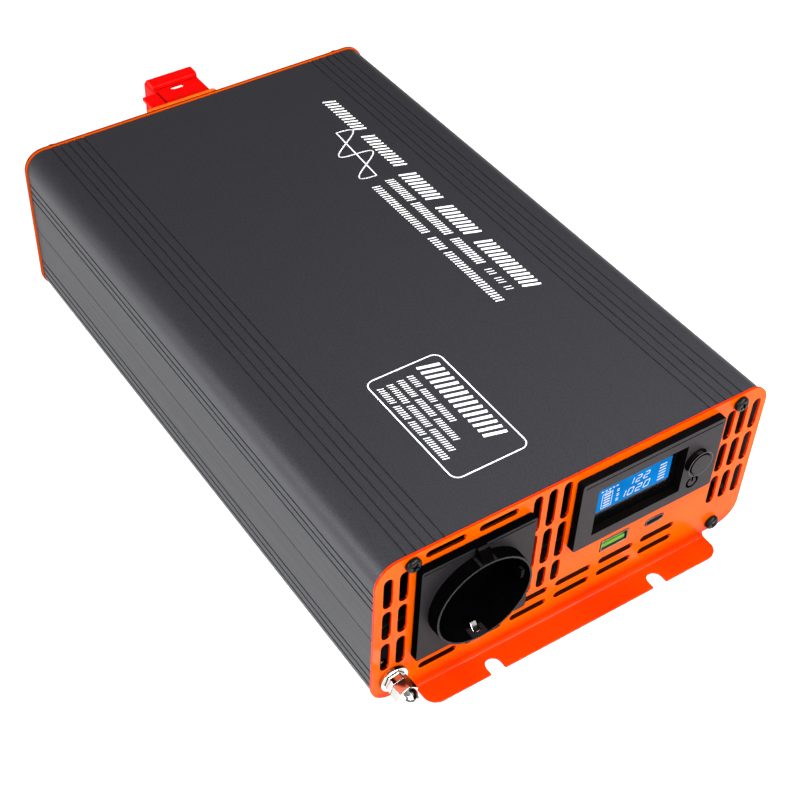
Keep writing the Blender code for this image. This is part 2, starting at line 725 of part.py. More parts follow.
def make_charging_ports():
    wall = 0.4 * MM
    outer = rounded_box(*centred(USB_A, *USB_A_SIZE), 0.6 * MM, 2)
    hollow = (USB_A_SIZE[0] - 2 * wall, USB_A_SIZE[1] - 2 * wall)
    inner = rounded_box(*centred(USB_A, *hollow), 0.3 * MM, 2)
    keep(flat([outer, inner], FRONT - 0.2 * MM, FRONT + 13.4 * MM), "usb_a_shell", NICKEL)
    tongue_level = USB_A[1] - 0.9 * MM
    tongue = block(
        (USB_A[0] - 5.5 * MM, USB_A[0] + 5.5 * MM),
        (FRONT + 0.4 * MM, FRONT + 11 * MM),
        (tongue_level - 0.9 * MM, tongue_level + 0.9 * MM),
    )
    root_x, root_z = centred(USB_A, hollow[0] - 2 * GAP, hollow[1] - 2 * GAP)
    root = block(root_x, (FRONT + 10 * MM, FRONT + 13.2 * MM), root_z)
    keep(joined(tongue, root), "usb_a_tongue", GREEN_PLASTIC)

    wall = 0.3 * MM
    outer = level_slot(USB_C, *USB_C_SIZE)
    inner = level_slot(USB_C, USB_C_SIZE[0] - 2 * wall, USB_C_SIZE[1] - 2 * wall)
    keep(flat([outer, inner], FRONT - 0.2 * MM, FRONT + 13.4 * MM), "usb_c_shell", NICKEL)
    tongue = block(
        (USB_C[0] - 3.3 * MM, USB_C[0] + 3.3 * MM),
        (FRONT + 1 * MM, FRONT + 9 * MM),
        (USB_C[1] - 0.35 * MM, USB_C[1] + 0.35 * MM),
    )
    root = flat(
        [level_slot(USB_C, USB_C_SIZE[0] - 1.2 * MM, USB_C_SIZE[1] - 1.2 * MM)],
        FRONT + 6.5 * MM,
        FRONT + 13.2 * MM,
    )
    keep(joined(tongue, root), "usb_c_tongue", BLACK_PLASTIC)
    board = block(
        (11 * MM, 51 * MM),
        (FRONT + 13.8 * MM, FRONT + 15.4 * MM),
        (20 * MM, 36 * MM),
    )
    keep(board, "usb_board", BOARD_GREEN)


# ---------------------------------------------------------- battery terminals


def make_terminal(word, centre, cover_material):
    at = (centre[0], REAR, centre[1])
    bore = 4.3 * MM
    insulator = [
        (bore, 6.4 * MM),
        (9.8 * MM, 6.4 * MM),
        (9.8 * MM, PLATE_PROUD + GAP),
        (7.6 * MM, PLATE_PROUD + GAP),
        (7.6 * MM, -5 * MM),
        (bore, -5 * MM),
    ]
    keep(turned(insulator, at, REARWARD, 20), word + "_terminal_insulator", BLACK_PLASTIC)
    shaft = 3.9 * MM
    stud = turned(
        [(0, 21 * MM), (shaft, 21 * MM), (shaft, -10 * MM), (0, -10 * MM)], at, REARWARD, 16
    )
    head = flat([hexagon(centre, 13 * MM)], REAR - 12 * MM, REAR - 8.6 * MM)
    keep(joined(stud, head), word + "_terminal_stud", BRASS)
    nut = hexagonal_ring(centre, 13 * MM, 4.3 * MM, 15)
    keep(flat(nut, REAR + 9 * MM, REAR + 15.5 * MM), word + "_terminal_nut", NICKEL)
    make_terminal_cover(word, centre, cover_material)


def make_terminal_cover(word, centre, mat):
    """A sleeve open towards the panel and at its far end, with a lip, a slot and a pull tab."""
    x_range, z_range = centred(centre, COVER_WIDTH, COVER_HEIGHT)
    outer = rounded_box(x_range, z_range, 1.5 * MM, 3)
    inside = centred(centre, COVER_WIDTH - 2 * COVER_WALL, COVER_HEIGHT - 2 * COVER_WALL)
    inner = rounded_box(*inside, 0.8 * MM, 2)
    near, far = REAR + PLATE_PROUD + GAP, REAR + COVER_REACH
    sleeve = flat([outer, inner], near, far)
    top = z_range[1]
    lip_outline = rounded_box((far - 8.6 * MM, far - 1 * MM), (top - 3 * MM, top + 2 * MM), 1.9 * MM, 4)
    lip = flat([lip_outline], x_range[0] + 0.4 * MM, x_range[1] - 0.4 * MM, "X")
    tab_x = (x_range[0] - 6.5 * MM, x_range[0] + 0.8 * MM)
    tab = block(tab_x, (REAR + 5.6 * MM, REAR + 16 * MM), (top - 2 * MM, top - 0.4 * MM))
    skirt = block(
        (x_range[1] - 0.8 * MM, x_range[1] + 1.2 * MM),
        (near, near + 3.4 * MM),
        (z_range[0] + 1.5 * MM, top - 1 * MM),
    )
    slot = flat(
        [level_slot((centre[0] - 0.4 * MM, REAR + 16.2 * MM), 7.6 * MM, 4 * MM)],
        top - 3 * MM,
        top + 1 * MM,
        "Z",
    )
    sleeve = cut(joined(sleeve, lip, tab, skirt), slot)
    keep(sleeve, word + "_terminal_cover", mat)


def make_terminals():
    centres = terminal_centres()
    make_terminal("positive", centres["positive"], RED_PVC)
    make_terminal("negative", centres["negative"], BLACK_PVC)
    board_top = BOARD_LEVEL + BOARD_THICKNESS / 2
    feet = {"positive": POSITIVE_Z - 10 * MM, "negative": board_top + GAP}
    for word, foot in feet.items():
        x, z = centres[word]
        wide = (x - 7.5 * MM, x + 7.5 * MM)
        near, far = REAR - 8.3 * MM, REAR - 5.3 * MM
        bar = flat([plain_box(wide, (foot, z + 9 * MM)), circle((x, z), 4.3 * MM, 16)], near, far)
        shelf = block(wide, (REAR - 50 * MM, near + 1 * MM), (foot, foot + 2.5 * MM))
        keep(joined(bar, shelf), word + "_busbar", COPPER)


# ------------------------------------------------------------------------ fan


def make_fan():
    x_range, z_range = centred(FAN, FAN_SIZE, FAN_SIZE)
    far = REAR - SHEET - GAP
    near = far - FAN_DEPTH
    outer = rounded_box(x_range, z_range, 4 * MM, 3)
    corners = [circle(centre, 2.3 * MM, 10) for centre in fan_corners()]
    ring = flat([outer, circle(FAN, 28.6 * MM, 32), *corners], near, far)
    spider = [
        turned(
            [(0, 2.5 * MM), (12.5 * MM, 2.5 * MM), (12.5 * MM, 0), (0, 0)],
            (FAN[0], near, FAN[1]),
            REARWARD,
            24,
        ),
        block(
            (FAN[0] - 29.5 * MM, FAN[0] + 29.5 * MM),
            (near + 0.2 * MM, near + 2.2 * MM),
            (FAN[1] - 1.5 * MM, FAN[1] + 1.5 * MM),
        ),
        block(
            (FAN[0] - 1.4 * MM, FAN[0] + 1.4 * MM),
            (near + 0.4 * MM, near + 2.1 * MM),
            (FAN[1] - 29.5 * MM, FAN[1] + 29.5 * MM),
        ),
    ]
    keep(joined(ring, *spider), "fan_frame", BLACK_PLASTIC)
    hub_near, hub_far = near + 3.2 * MM, far - 1.5 * MM
    rotor = turned(
        [(0, hub_far - hub_near), (12 * MM, hub_far - hub_near), (12 * MM, 0), (0, 0)],
        (FAN[0], hub_near, FAN[1]),
        REARWARD,
        28,
    )
    blades = []
    for i in range(7):
        blade = block((11 * MM, 27.4 * MM), (-6 * MM, 6 * MM), (-0.8 * MM, 0.8 * MM))
        turn = Matrix.Rotation(2 * math.pi * i / 7, 4, "Y")
        pitch = Matrix.Rotation(math.radians(42), 4, "X")
        middle = Matrix.Translation((FAN[0], (hub_near + hub_far) / 2, FAN[1]))
        blade.matrix_world = middle @ turn @ pitch
        blades.append(blade)
    keep(joined(rotor, *blades), "fan_rotor", BLACK_PLASTIC)
    words = ("bottom_left", "top_left", "bottom_right", "top_right")
    for word, centre in zip(words, fan_corners()):
        name = "fan_screw_" + word
        pan_screw(name, centre, REAR + GAP, REARWARD, 3.6 * MM, 1.9 * MM, 14 * MM, BLACK_STEEL)


# -------------------------------------------------------------- power section


def make_main_board():
    half = CASE_HALF - CASE_WALL - GAP
    level = (BOARD_LEVEL - BOARD_THICKNESS / 2, BOARD_LEVEL + BOARD_THICKNESS / 2)
    board = block((-half, half), (FRONT + 20 * MM, REAR - 20 * MM), level)
    keep(board, "main_board", BOARD_GREEN)
    top = level[1] + GAP
    card = block((-22 * MM, 34 * MM), (FRONT + 150 * MM, FRONT + 151.6 * MM), (top, 46 * MM))
    keep(card, "control_board", BOARD_GREEN)


def heat_sink_outline(side, low, high):
    """A comb: an upright base with fins pointing at the case wall."""
    base_in, base_out, tip = side * 60 * MM, side * 63.5 * MM, side * 79 * MM
    fins, thick = 6, 1.8 * MM
    pitch = (high - low - thick) / (fins - 1)
    outline = [(base_in, high), (base_in, low)]
    for i in range(fins):
        floor = low + pitch * i
        outline += [(tip, floor), (tip, floor + thick)]
        if i < fins - 1:
            outline += [(base_out, floor + thick), (base_out, floor + pitch)]
    return outline


def make_heat_sinks():
    low = BOARD_LEVEL + BOARD_THICKNESS / 2 + GAP
    for side, word in ((-1, "left"), (1, "right")):
        outline = heat_sink_outline(side, low + 2 * MM, low + 44 * MM)
        sink = flat([outline], FRONT + 60 * MM, FRONT + 200 * MM)
        keep(sink, "heat_sink_" + word, BARE_ALUMINIUM)
        face = side * (60 * MM - GAP)
        bar_in, bar_out = sorted((face, face - side * 3 * MM))
        spine = block((bar_in, bar_out), (FRONT + 64 * MM, FRONT + 196 * MM), (32 * MM, 37 * MM))
        cases = []
        for i in range(5):
            start = FRONT + (66 + 26.5 * i) * MM
            body_in, body_out = sorted((face, face - side * 5 * MM))
            cases.append(block((body_in, body_out), (start, start + 16 * MM), (24 * MM, 45 * MM)))
        keep(joined(spine, *cases), "transistor_bank_" + word, BLACK_PLASTIC)


def make_transformer():
    centre = (8 * MM, FRONT + 105 * MM)
    low = BOARD_LEVEL + BOARD_THICKNESS / 2 + GAP
    high = low + 44 * MM
    half, leg, yoke = 28 * MM, 9 * MM, 9 * MM
    windows = []
    for side in (-1, 1):
        edges = sorted((centre[0] + side * leg, centre[0] + side * (half - leg)))
        windows.append(plain_box(edges, (low + yoke, high - yoke)))
    outline = plain_box((centre[0] - half, centre[0] + half), (low, high))
    core = flat([outline, *windows], centre[1] - 10 * MM, centre[1] + 10 * MM)
    keep(core, "transformer_core", FERRITE)
    wide, deep = half - leg - GAP, 18.5 * MM
    outer = rounded_box(
        (centre[0] - wide, centre[0] + wide), (centre[1] - deep, centre[1] + deep), 6 * MM, 4
    )
    hollow = rounded_box(
        (centre[0] - leg - GAP, centre[0] + leg + GAP),
        (centre[1] - 10 * MM - GAP, centre[1] + 10 * MM + GAP),
        0.2 * MM,
        1,
    )
    winding = flat([outer, hollow], low + yoke + GAP, high - yoke - GAP, "Z")
    keep(winding, "transformer_winding", COPPER)


def capacitor(name, x, depth, radius, height):
    low = BOARD_LEVEL + BOARD_THICKNESS / 2 + GAP
    profile = [
        (0, height),
        (radius - 1 * MM, height),
        (radius, height - 1 * MM),
        (radius, 4 * MM),
        (radius - 0.7 * MM, 3 * MM),
        (radius, 2 * MM),
        (radius, 0),
        (0, 0),
    ]
    keep(turned(profile, (x, FRONT + depth, low), UPWARD, 20), name, SLEEVE)


def make_output_choke():
    low = BOARD_LEVEL + BOARD_THICKNESS / 2 + GAP
    inner, outer, height, bevel = 8 * MM, 19 * MM, 16 * MM, 3 * MM
    profile = [
        (inner + bevel, height),
        (outer - bevel, height),
        (outer, height - bevel),
        (outer, bevel),
        (outer - bevel, 0),
        (inner + bevel, 0),
        (inner, bevel),
        (inner, height - bevel),
    ]
    ring = turned(profile, (-30 * MM, FRONT + 60 * MM, low), UPWARD, 24)
    keep(ring, "output_choke", COPPER)


def make_power_section():
    make_main_board()
    make_heat_sinks()
    make_transformer()
    make_output_choke()
    capacitor("high_voltage_capacitor", -30 * MM, 185 * MM, 15 * MM, 45 * MM)
    capacitor("input_capacitor_left", 14 * MM, 190 * MM, 9 * MM, 32 * MM)
    capacitor("input_capacitor_right", 38 * MM, 190 * MM, 9 * MM, 32 * MM)


make_case()
make_panels()
make_panel_screws()
make_earth_terminal()
make_socket()
make_socket_contacts()
make_display()
make_button()
make_charging_ports()
make_terminals()
make_fan()
make_power_section()
bpy.context.view_layer.update()
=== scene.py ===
"""Looks for the power inverter: finishes, bevelled shells, display graphics, light and camera."""

import json
import math

import bmesh
import bpy
from mathutils import Matrix, Vector


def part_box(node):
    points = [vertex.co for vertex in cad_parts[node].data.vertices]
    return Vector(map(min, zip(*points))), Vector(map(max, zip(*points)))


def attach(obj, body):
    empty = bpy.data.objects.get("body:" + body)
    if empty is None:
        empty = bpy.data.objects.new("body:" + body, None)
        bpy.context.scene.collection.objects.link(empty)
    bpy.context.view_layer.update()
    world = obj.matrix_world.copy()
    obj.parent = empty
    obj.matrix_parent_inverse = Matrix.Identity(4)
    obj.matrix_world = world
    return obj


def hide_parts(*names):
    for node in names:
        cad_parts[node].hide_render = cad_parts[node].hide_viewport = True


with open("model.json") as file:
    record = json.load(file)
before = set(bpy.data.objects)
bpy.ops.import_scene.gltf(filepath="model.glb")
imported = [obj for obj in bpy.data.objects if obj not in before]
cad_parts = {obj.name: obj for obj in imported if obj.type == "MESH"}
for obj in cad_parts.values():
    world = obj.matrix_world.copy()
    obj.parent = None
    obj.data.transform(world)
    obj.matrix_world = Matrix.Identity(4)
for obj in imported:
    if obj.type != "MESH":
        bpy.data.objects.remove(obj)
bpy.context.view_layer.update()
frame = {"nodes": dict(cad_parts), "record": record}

MM = 0.001
SHEET = 1 * MM
LIFT = 0.05 * MM  # how far printed marks stand off the face they are on
SCREW_SINK = 0.3 * MM  # how far the screw heads sit in the panels' dimples

SCENE = bpy.context.scene
BODIES = frame["record"]["behaviour"]["bodies"]
BODY_OF = {node: body for body, nodes in BODIES.items() for node in nodes}
SLOT_OF = {entry["node"]: entry["material_slot"] for entry in frame["record"]["subparts"]}
ROOT = "inverter"


def centre_of(node):
    low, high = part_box(node)
    return (low + high) / 2


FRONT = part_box("front_panel")[1].y - SHEET
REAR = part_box("rear_panel")[0].y + SHEET
CASE_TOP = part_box("upper_case")[1].z

FORWARD = Matrix.Rotation(math.pi / 2, 4, "X")  # local +Z to world -Y
REARWARD = Matrix.Rotation(-math.pi / 2, 4, "X")  # local +Z to world +Y


# ---------------------------------------------------------------- materials


class Nodes:
    """A material's node tree, with a short way to add and link nodes."""

    def __init__(self, name):
        self.material = bpy.data.materials.new(name)
        self.material.use_nodes = True
        self.tree = self.material.node_tree
        self.shader = self.tree.nodes["Principled BSDF"]
        self.place = self.add("ShaderNodeTexCoord").outputs["Object"]

    def add(self, kind, **values):
        node = self.tree.nodes.new(kind)
        for key, value in values.items():
            setattr(node, key, value)
        return node

    def link(self, source, target):
        self.tree.links.new(source, target)

    def noise(self, size, detail=2.0, stretch=(1, 1, 1)):
        """Noise whose features are about this size, in metres, drawn out by the stretch."""
        mapping = self.add("ShaderNodeMapping")
        mapping.inputs["Scale"].default_value = [1 / (size * s) for s in stretch]
        self.link(self.place, mapping.inputs["Vector"])
        noise = self.add("ShaderNodeTexNoise")
        noise.inputs["Scale"].default_value = 1.0
        noise.inputs["Detail"].default_value = detail
        self.link(mapping.outputs["Vector"], noise.inputs["Vector"])
        return noise.outputs["Fac"]

    def ramp(self, factor, stops):
        ramp = self.add("ShaderNodeValToRGB")
        ramp.color_ramp.elements[0].position = stops[0][0]
        ramp.color_ramp.elements[0].color = (*stops[0][1], 1)
        ramp.color_ramp.elements[1].position = stops[-1][0]
        ramp.color_ramp.elements[1].color = (*stops[-1][1], 1)
        for position, colour in stops[1:-1]:
            ramp.color_ramp.elements.new(position).color = (*colour, 1)
        self.link(factor, ramp.inputs["Fac"])
        return ramp.outputs["Color"]

    def times(self, first, second):
        product = self.add("ShaderNodeMath", operation="MULTIPLY")
        self.link(first, product.inputs[0])
        self.link(second, product.inputs[1])
        return product.outputs["Value"]

    def ease(self, value, low, high, clamped=True):
        """The value's place between low and high: 0 at low and 1 at high."""
        spread = self.add("ShaderNodeMapRange", clamp=clamped)
        spread.inputs["From Min"].default_value = low
        spread.inputs["From Max"].default_value = high
        self.link(value, spread.inputs["Value"])
        return spread.outputs["Result"]

    def mix(self, factor, first, second):
        mix = self.add("ShaderNodeMix", data_type="RGBA")
        self.link(factor, mix.inputs["Factor"])
        self.link(first, mix.inputs["A"])
        self.link(second, mix.inputs["B"])
        return mix.outputs["Result"]

    def range(self, factor, low, high):
        """The factor, from 0 to 1, spread over low to high."""
        spread = self.add("ShaderNodeMapRange")
        spread.inputs["To Min"].default_value = low
        spread.inputs["To Max"].default_value = high
        self.link(factor, spread.inputs["Value"])
        return spread.outputs["Result"]

    def bump(self, height, strength, distance, under=None):
        bump = self.add("ShaderNodeBump")
        bump.inputs["Strength"].default_value = strength
        bump.inputs["Distance"].default_value = distance
        self.link(height, bump.inputs["Height"])
        if under:
            self.link(under, bump.inputs["Normal"])
        return bump.outputs["Normal"]


def shade(colour, factor):
    """The colour made darker or brighter by the factor."""
    return tuple(min(1.0, channel * factor) for channel in colour)


def finish(
    name, colour, roughness, metallic=0.0, grain=0.4 * MM, grain_depth=0.01 * MM, spread=0.08, **sockets
):
    """A procedural finish: slow colour and gloss variation over a fine grain."""
    nodes = Nodes(name)
    patches = nodes.noise(25 * MM, 3.0)
    colours = [(0.3, shade(colour, 1 - spread)), (0.7, shade(colour, 1 + spread))]
    nodes.link(nodes.ramp(patches, colours), nodes.shader.inputs["Base Color"])
    gloss = nodes.range(nodes.noise(4 * MM, 3.0), roughness - 0.05, roughness + 0.05)
    nodes.link(gloss, nodes.shader.inputs["Roughness"])
    relief = nodes.bump(nodes.noise(grain, 1.0), 0.6, grain_depth)
    nodes.link(relief, nodes.shader.inputs["Normal"])
    nodes.shader.inputs["Metallic"].default_value = metallic
    for socket, value in sockets.items():
        nodes.shader.inputs[socket.replace("_", " ")].default_value = value
    return nodes.material


def anodised_finish():
    """Bead-blasted and anodised extrusion: charcoal, finely speckled, with faint draw lines along it."""
    nodes = Nodes("anodised_charcoal")
    grain = nodes.noise(0.45 * MM, 2.0)
    draw = nodes.noise(1.2 * MM, 2.0, (1, 90, 1))
    dark, light = (0.013, 0.013, 0.016), (0.034, 0.034, 0.04)
    nodes.link(nodes.ramp(grain, [(0.3, dark), (0.72, light)]), nodes.shader.inputs["Base Color"])
    nodes.link(nodes.range(draw, 0.42, 0.55), nodes.shader.inputs["Roughness"])
    lines = nodes.bump(draw, 0.12, 0.02 * MM)
    relief = nodes.bump(grain, 0.4, 0.02 * MM, lines)
    nodes.link(relief, nodes.shader.inputs["Normal"])
    nodes.shader.inputs["Metallic"].default_value = 0.35
    nodes.shader.inputs["Specular IOR Level"].default_value = 0.35
    return nodes.material


def facing(nodes, axis, low, high, clamped=True):
    """How far the surface looks along an axis of the object, from 0 at low to 1 at high."""
    normal = nodes.add("ShaderNodeSeparateXYZ")
    nodes.link(nodes.add("ShaderNodeNewGeometry").outputs["True Normal"], normal.inputs["Vector"])
    return nodes.ease(normal.outputs[axis], low, high, clamped)


def between(nodes, axis, low, high, blur):
    """1 where the coordinate lies between two levels, fading to 0 over the blur beyond them."""
    place = nodes.add("ShaderNodeSeparateXYZ")
    nodes.link(nodes.place, place.inputs["Vector"])
    above = nodes.ease(place.outputs[axis], low - blur, low)
    below = nodes.ease(place.outputs[axis], high + blur, high)
    return nodes.times(above, below)


def paint_finish(name, around, around_bright):
    """Lacquer on pressed sheet, with painted light: a yellower painted sheen on the faces turned front
    and back, painted shade near the bend, and nearly black painted shade on the sills of the slot
    openings.
    """
    nodes = Nodes(name)
    patches = nodes.noise(30 * MM, 2.0)
    body = nodes.ramp(patches, [(0.35, around), (0.65, around_bright)])
    # The colour of the faces turned front and back, yellower than the body: a painted sheen.
    face = nodes.ramp(patches, [(0.35, (0.46, 0.05, 0.0)), (0.65, (0.52, 0.06, 0.0))])
    # Nearly black painted shade for the sills of the slot openings.
    sill_shade = nodes.ramp(patches, [(0.35, (0.02, 0.002, 0.0)), (0.65, (0.03, 0.003, 0.0))])

    # Painted sheen on the faces turned to the front and back.
    along = nodes.add("ShaderNodeMath", operation="ABSOLUTE")
    nodes.link(facing(nodes, "Y", 0, 1, clamped=False), along.inputs[0])
    upright_sheen = nodes.ease(along.outputs["Value"], 0.6, 0.98)
    # Painted shade: the sheen fades out near the bend, so the panel is darker towards the bottom.
    bend = between(nodes, "Z", -1 * MM, 3 * MM, 6 * MM)
    # Painted shade on the faces turned up inside the slot openings.
    slot_shade = nodes.times(facing(nodes, "Z", 0.4, 0.8), between(nodes, "Z", 5 * MM, 74 * MM, 1 * MM))
    painted = nodes.mix(bend, nodes.mix(upright_sheen, body, face), body)
    nodes.link(nodes.mix(slot_shade, painted, sill_shade), nodes.shader.inputs["Base Color"])

    nodes.link(nodes.range(nodes.noise(6 * MM), 0.2, 0.28), nodes.shader.inputs["Roughness"])
    peel = nodes.bump(nodes.noise(1.6 * MM, 1.0), 0.1, 0.015 * MM)
    nodes.link(peel, nodes.shader.inputs["Normal"])
    nodes.shader.inputs["Specular IOR Level"].default_value = 0.03
    nodes.shader.inputs["Coat Weight"].default_value = 0.05
    nodes.shader.inputs["Coat Roughness"].default_value = 0.1
    return nodes.material


def moulded_finish(name, side, face, roughness, grain, depth):
    """Moulded plastic: the flat front paler, partly a real matt grain and partly painted light; the side
    walls darker, painted shade; the top faces of what stands proud paler, a painted highlight.
    """
    nodes = Nodes(name)
    speckle = nodes.noise(grain, 2.0)
    # Pale grained colour for the front, partly real grain and partly painted light; also used as a
    # painted highlight.
    textured_and_lit = nodes.ramp(speckle, [(0.3, shade(face, 0.8)), (0.72, shade(face, 1.25))])
    # Darker colour for the side walls: painted shade.
    polished_in_shade = nodes.ramp(nodes.noise(8 * MM), [(0.3, shade(side, 0.8)), (0.7, shade(side, 1.2))])
    outside = between(nodes, "Y", FRONT - 40 * MM, FRONT - 1 * MM, 1 * MM)
    # Front faces take the pale colour: real grain and painted light.
    ahead = nodes.times(facing(nodes, "Y", -0.85, -0.99), outside)
    proud = between(nodes, "Y", FRONT - 40 * MM, FRONT - 4.4 * MM, 0.4 * MM)
    # Painted highlight on the top faces of what stands proud.
    top_highlight_mask = nodes.times(facing(nodes, "Z", 0.985, 0.998), proud)
    lit_and_shaded_sides = nodes.mix(top_highlight_mask, polished_in_shade, textured_and_lit)
    nodes.link(nodes.mix(ahead, lit_and_shaded_sides, textured_and_lit), nodes.shader.inputs["Base Color"])
    gloss = nodes.range(nodes.noise(3 * MM), roughness - 0.05, roughness + 0.05)
    nodes.link(gloss, nodes.shader.inputs["Roughness"])
    nodes.link(nodes.bump(speckle, 0.5, depth), nodes.shader.inputs["Normal"])
    nodes.link(nodes.range(ahead, 0.0, 0.06), nodes.shader.inputs["Specular IOR Level"])
    return nodes.material


def nickel_with_painted_light():
    """Bright plating with painted light and shade: a painted highlight on the facets turned left and to
    the front, painted shade on those turned right.
    """
    nodes = Nodes("nickel_plate")
    # Painted light and shade set by the way each facet faces along X.
    stops = [(0.0, (0.4, 0.39, 0.37)), (0.2, (0.85, 0.83, 0.8)), (0.38, (0.6, 0.58, 0.55))]
    stops += [(0.47, (0.03, 0.028, 0.026)), (0.8, (0.02, 0.018, 0.017)), (1.0, (0.5, 0.48, 0.45))]
    lit_and_shaded_sides = nodes.ramp(facing(nodes, "X", -1, 1), stops)
    # Painted highlight on the faces turned to the front.
    lit_fronts = nodes.ramp(nodes.noise(3 * MM), [(0.3, (0.8, 0.78, 0.75)), (0.7, (0.9, 0.88, 0.85))])
    ahead = facing(nodes, "Y", -0.7, -0.95)
    nodes.link(nodes.mix(ahead, lit_and_shaded_sides, lit_fronts), nodes.shader.inputs["Base Color"])
    nodes.link(nodes.range(nodes.noise(2 * MM), 0.08, 0.18), nodes.shader.inputs["Roughness"])
    nodes.link(nodes.bump(nodes.noise(0.8 * MM), 0.4, 0.003 * MM), nodes.shader.inputs["Normal"])
    nodes.shader.inputs["Metallic"].default_value = 1.0
    return nodes.material


def glowing_finish(name, dark, light, strength, size):
    """A backlit face whose glow varies a little from place to place."""
    nodes = Nodes(name)
    colours = nodes.ramp(nodes.noise(size, 1.0), [(0.3, dark), (0.7, light)])
    nodes.link(colours, nodes.shader.inputs["Emission Color"])
    nodes.shader.inputs["Emission Strength"].default_value = strength
    nodes.shader.inputs["Base Color"].default_value = (0.001, 0.001, 0.001, 1)
    nodes.shader.inputs["Specular IOR Level"].default_value = 0.0
    nodes.shader.inputs["Roughness"].default_value = 0.35
    return nodes.material


FINISHES = {
    "anodised_aluminium": anodised_finish(),
    "orange_paint": paint_finish("orange_lacquer", (0.55, 0.015, 0.0), (0.62, 0.022, 0.0)),
    "black_steel": finish("black_steel", (0.002, 0.002, 0.002), 0.3, Specular_IOR_Level=0.12),
    "nickel_plate": nickel_with_painted_light(),
    "black_plastic": finish("black_plastic", (0.002, 0.002, 0.002), 0.36, Specular_IOR_Level=0.1),
    "grey_plastic": moulded_finish(
        "grey_bezel_plastic", (0.002, 0.0015, 0.0015), (0.016, 0.0145, 0.016), 0.5, 0.35 * MM, 0.015 * MM
    ),
    "clear_window": finish(
        "black_window", (0.001, 0.001, 0.001), 0.15, 0.0, 3 * MM, 0.002 * MM, Specular_IOR_Level=0.15
    ),
    "lcd_blue": finish("lcd_backing", (0.004, 0.01, 0.03), 0.3),
    "green_plastic": finish("green_plastic", (0.06, 0.17, 0.008), 0.35, Specular_IOR_Level=0.1),
    "brass": finish("brass", (0.75, 0.52, 0.2), 0.3, 1.0),
    "copper": finish("copper", (0.5, 0.2, 0.09), 0.4, 1.0, 0.9 * MM, 0.05 * MM),
    "red_pvc": finish(
        "red_plastic", (0.62, 0.001, 0.0005), 0.35, 0.0, 0.7 * MM, 0.01 * MM, 0.05,
        Specular_IOR_Level=0.03,
    ),
    "black_pvc": finish("black_cover_plastic", (0.006, 0.006, 0.006), 0.4, 0.0, 0.7 * MM, 0.01 * MM),
    "circuit_board": finish("circuit_board", (0.001, 0.009, 0.004), 0.45, 0.0, 1.4 * MM, 0.03 * MM, 0.2),
    "ferrite": finish("ferrite", (0.012, 0.012, 0.013), 0.7, 0.0, 0.5 * MM, 0.04 * MM),
    "bare_aluminium": finish("mill_aluminium", (0.2, 0.2, 0.21), 0.42, 1.0, 0.9 * MM, 0.02 * MM),
    "capacitor_sleeve": finish("capacitor_sleeve", (0.003, 0.005, 0.015), 0.35),
}
# The orange lacquer darkened for the rear panel: a shaded copy, painted shade.
REAR_SHADED_PAINT = paint_finish("orange_rear_lacquer_shaded", (0.2, 0.012, 0.0), (0.26, 0.016, 0.0))
PORT_STEEL = finish("port_steel", (0.16, 0.16, 0.16), 0.3, 1.0)
# The orange lacquer brightened for the rear terminal plate: a lit copy, painted light.
PLATE_LIT_PAINT = paint_finish("orange_plate_lacquer_lit", (0.7, 0.09, 0.002), (0.78, 0.11, 0.003))
SOCKET_PLASTIC = moulded_finish(
    "socket_plastic", (0.0006, 0.0006, 0.0006), (0.009, 0.008, 0.009), 0.45, 0.5 * MM, 0.02 * MM
)
PRINT = finish("white_print", (0.9, 0.9, 0.9), 0.5, 0.0, 0.3 * MM, 0.004 * MM, 0.04)
# Near-black ink for the power symbol and the bezel's edge line, also used for painted shadow lines on
# the black terminal cover.
BLACK_INK_AND_SHADOW = finish("black_ink_and_shadow", (0.0006, 0.0006, 0.0006), 0.6, Specular_IOR_Level=0.0)
# Dark red for painted shadow lines on the red terminal cover.
RED_PAINTED_SHADOW = finish("dark_red_painted_shadow", (0.1, 0.001, 0.001), 0.5, Specular_IOR_Level=0.05)
# Pale grey for a painted highlight on the power button's rim.
RIM_HIGHLIGHT_PAINT = finish("painted_rim_highlight", (0.05, 0.048, 0.05), 0.4, Specular_IOR_Level=0.1)
LCD_LIT = glowing_finish("lcd_lit", (0.0005, 0.2, 0.62), (0.002, 0.26, 0.8), 1.0, 9 * MM)
LCD_WHITE = glowing_finish("lcd_white", (0.8, 0.9, 1.0), (0.92, 0.97, 1.0), 0.95, 2 * MM)


# ------------------------------------------------------------- mesh helpers


def piece_from(mesh, name, body, material, placing=None):
    """A new piece of the object, finished and riding on its body."""
    mesh.materials.clear()
    mesh.materials.append(material)
    piece = bpy.data.objects.new(name, mesh)
    SCENE.collection.objects.link(piece)
    if placing is not None:
        piece.matrix_world = placing
    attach(piece, body)
    return piece


def soften(piece, width, segments=2, angle=50):
    """Bevels the piece's sharp edges and shades the rest smooth."""
    edges = piece.modifiers.new("edges", "BEVEL")
    edges.width = width
    edges.segments = segments
    edges.limit_method = "ANGLE"
    edges.angle_limit = math.radians(angle)
    edges.miter_outer = "MITER_SHARP"
    edges.harden_normals = False
    piece.data.shade_smooth()
    piece.data.set_sharp_from_angle(angle=math.radians(angle))
    weighted = piece.modifiers.new("shading", "WEIGHTED_NORMAL")
    weighted.keep_sharp = False
    weighted.weight = 60
    return piece


